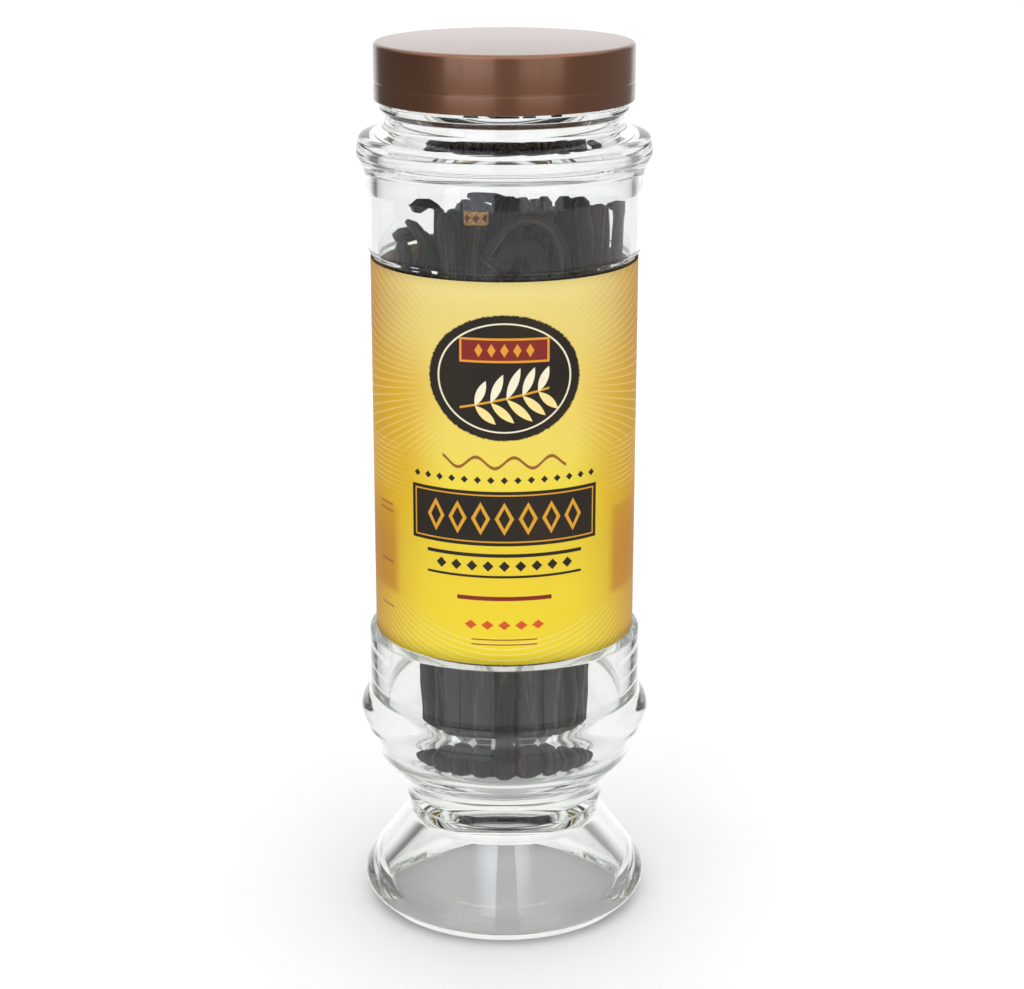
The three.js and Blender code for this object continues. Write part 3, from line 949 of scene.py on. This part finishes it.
def make_pods():
    draws = Draws(99)
    vertices = []
    faces = []
    places = []
    for pod in stand_pods():
        line, lengths = smooth_line(pod_line(pod), SKIN_SPACING)
        first = len(vertices)
        vertices.extend(pod_skin(pod, line, lengths, draws))
        pod_faces, pod_places = skin_faces(first, lengths, draws.between(0, 50))
        faces.extend(pod_faces)
        places.extend(pod_places)
    made = piece("vanilla_pods", vertices, faces, pod_material(), "pods")
    layer = made.data.uv_layers.new(name="along")
    layer.data.foreach_set("uv", [value for place in places for value in place])
    return made


# Tie: a flat band with rounded edges, a little wavy
TIE_SIDES = 64
TIE_SECTION = 16
TIE_THICKNESS = 0.8
TIE_WAVE = 0.12


def blunt(value, power):
    """A wave's value made squarer by a power under 1."""
    return math.copysign(abs(value) ** power, value)


def make_tie():
    low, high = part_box("tie")
    middle = (low + high) / 2 / MM
    half_height = (high.z - low.z) / MM / 2
    outer = (high.x - low.x) / MM / 2
    inner = outer - TIE_THICKNESS
    vertices = []
    faces = []
    places = []
    for s in range(TIE_SIDES):
        angle = s / TIE_SIDES * 2 * math.pi
        for k in range(TIE_SECTION):
            turn = k / TIE_SECTION * 2 * math.pi
            r = (outer + inner) / 2 + (outer - inner) / 2 * blunt(math.cos(turn), 0.5)
            z = half_height * blunt(math.sin(turn), 0.35) + TIE_WAVE * math.sin(3 * angle)
            x = middle.x + r * math.cos(angle)
            y = middle.y + r * math.sin(angle)
            vertices.append((x * MM, y * MM, (middle.z + z) * MM))
            places.append(((angle - 1.5 * math.pi) * outer / PRINT_SCALE, z / PRINT_SCALE))
    for s in range(TIE_SIDES):
        here = s * TIE_SECTION
        after = (s + 1) % TIE_SIDES * TIE_SECTION
        for k in range(TIE_SECTION):
            up = (k + 1) % TIE_SECTION
            faces.append((here + k, after + k, after + up, here + up))
    made = piece("raffia_tie", vertices, faces, raffia_material(), "tie")
    place_print(made, "round", places)
    return made


# Floor and light
FLOOR_HALF = 6


def make_floor():
    shader = Shader("pale_floor")
    grain = shader.noise(14, 4.0, shader.coordinates())
    shade = shader.mix(grain, colour(249, 249, 249), colour(253, 253, 252))
    shader.put(shade, shader.surface.inputs["Base Color"])
    shader.set(Roughness=0.8)
    corners = [(-1, -1), (1, -1), (1, 1), (-1, 1)]
    vertices = [(x * FLOOR_HALF, y * FLOOR_HALF, 0) for x, y in corners]
    mesh = bpy.data.meshes.new("floor")
    mesh.from_pydata(vertices, [], [(0, 1, 2, 3)])
    floor = bpy.data.objects.new("floor", mesh)
    floor.data.materials.append(shader.material)
    bpy.context.scene.collection.objects.link(floor)
    floor.visible_glossy = False


# Light: a bright room behind and above, a dimmer one in front with two tall windows.
# Directions are in degrees: azimuth from the front towards the right, elevation up
FRONT_LIGHT = 0.32
LEFT_LIGHT = 0.2
RIGHT_LIGHT = 0.36
BACK_LIGHT = 1.12
SKY_LIGHT = 1.28
FLOOR_LIGHT = 0.6
SIDE_FROM = {"azimuth": 62, "soft": 18}
BACK_FROM = {"azimuth": 148, "soft": 8}
FLOOR_FROM = {"elevation": -42, "soft": -12}
SKY_FROM = {"elevation": 32, "soft": 18}
WINDOWS = [
    {"azimuth": -30.7, "half": 22, "bar": -37.4, "tint": (0.92, 0.98, 1.1)},
    {"azimuth": 32.2, "half": 19.2, "bar": 32.6, "tint": (0.76, 0.78, 0.8)},
]
BAR_HALF = 0.7
WINDOW_BANDS = [
    {"elevation": -30, "half": 14.5, "light": 1.15},
    {"elevation": 8, "half": 15, "light": 1.5},
    {"elevation": 42, "half": 1.8, "light": 7},
]


class Studio(Shader):
    """The world's light, worked out from the direction that it comes from."""

    def __init__(self):
        world = bpy.data.worlds.new("studio")
        world.use_nodes = True
        bpy.context.scene.world = world
        self.tree = world.node_tree
        split = self.node("ShaderNodeSeparateXYZ")
        self.put(self.node("ShaderNodeTexCoord").outputs["Generated"], split.inputs[0])
        x, y, z = split.outputs
        self.azimuth = self.math("ARCTAN2", x, self.math("MULTIPLY", y, -1.0))
        self.elevation = self.math("ARCSINE", z)
        self.light = (FRONT_LIGHT, FRONT_LIGHT, FRONT_LIGHT, 1)

    def add(self, mask, light):
        rgb = light if isinstance(light, tuple) else (light, light, light)
        self.light = self.mix(mask, self.light, (*rgb, 1))

    def facing(self, azimuth, half, soft):
        """1 within half of an azimuth, all in degrees."""
        return self.within(self.azimuth, math.radians(azimuth), math.radians(half), math.radians(soft))

    def beyond(self, edge):
        """1 further round to either side than an azimuth."""
        aside = self.math("ABSOLUTE", self.azimuth)
        return self.step(aside, math.radians(edge["azimuth"]), math.radians(edge["soft"]))

    def rightwards(self, edge):
        """1 further round to the right than an azimuth."""
        soft = math.radians(edge["soft"])
        return self.step(self.azimuth, math.radians(edge["azimuth"]), soft)

    def past(self, edge):
        """1 above an elevation, or below it where the softness is negative."""
        soft = math.radians(edge["soft"])
        return self.step(self.elevation, math.radians(edge["elevation"]), soft)

    def level(self, elevation, half, soft):
        middle = math.radians(elevation)
        return self.within(self.elevation, middle, math.radians(half), math.radians(soft))


def make_light():
    s = Studio()
    s.add(s.beyond(SIDE_FROM), LEFT_LIGHT)
    s.add(s.rightwards(SIDE_FROM), RIGHT_LIGHT)
    s.add(s.beyond(BACK_FROM), BACK_LIGHT)
    s.add(s.past(FLOOR_FROM), FLOOR_LIGHT)
    s.add(s.past(SKY_FROM), SKY_LIGHT)
    for window in WINDOWS:
        across = s.facing(window["azimuth"], window["half"], 1.2)
        bar = s.facing(window["bar"], BAR_HALF, 0.3)
        across = s.math("MULTIPLY", across, s.math("SUBTRACT", 1.0, bar))
        for band in WINDOW_BANDS:
            lit = s.math("MULTIPLY", across, s.level(band["elevation"], band["half"], 1.5))
            s.add(lit, tuple(band["light"] * part for part in window["tint"]))
    s.put(s.light, s.tree.nodes["Background"].inputs["Color"])
    bpy.context.scene.view_settings.view_transform = "Standard"
    paths = bpy.context.scene.cycles
    paths.max_bounces = 24
    paths.glossy_bounces = 16
    paths.transmission_bounces = 24


make_camera()
make_jar()
make_lid()
make_label()
make_pods()
make_tie()
make_floor()
make_light()
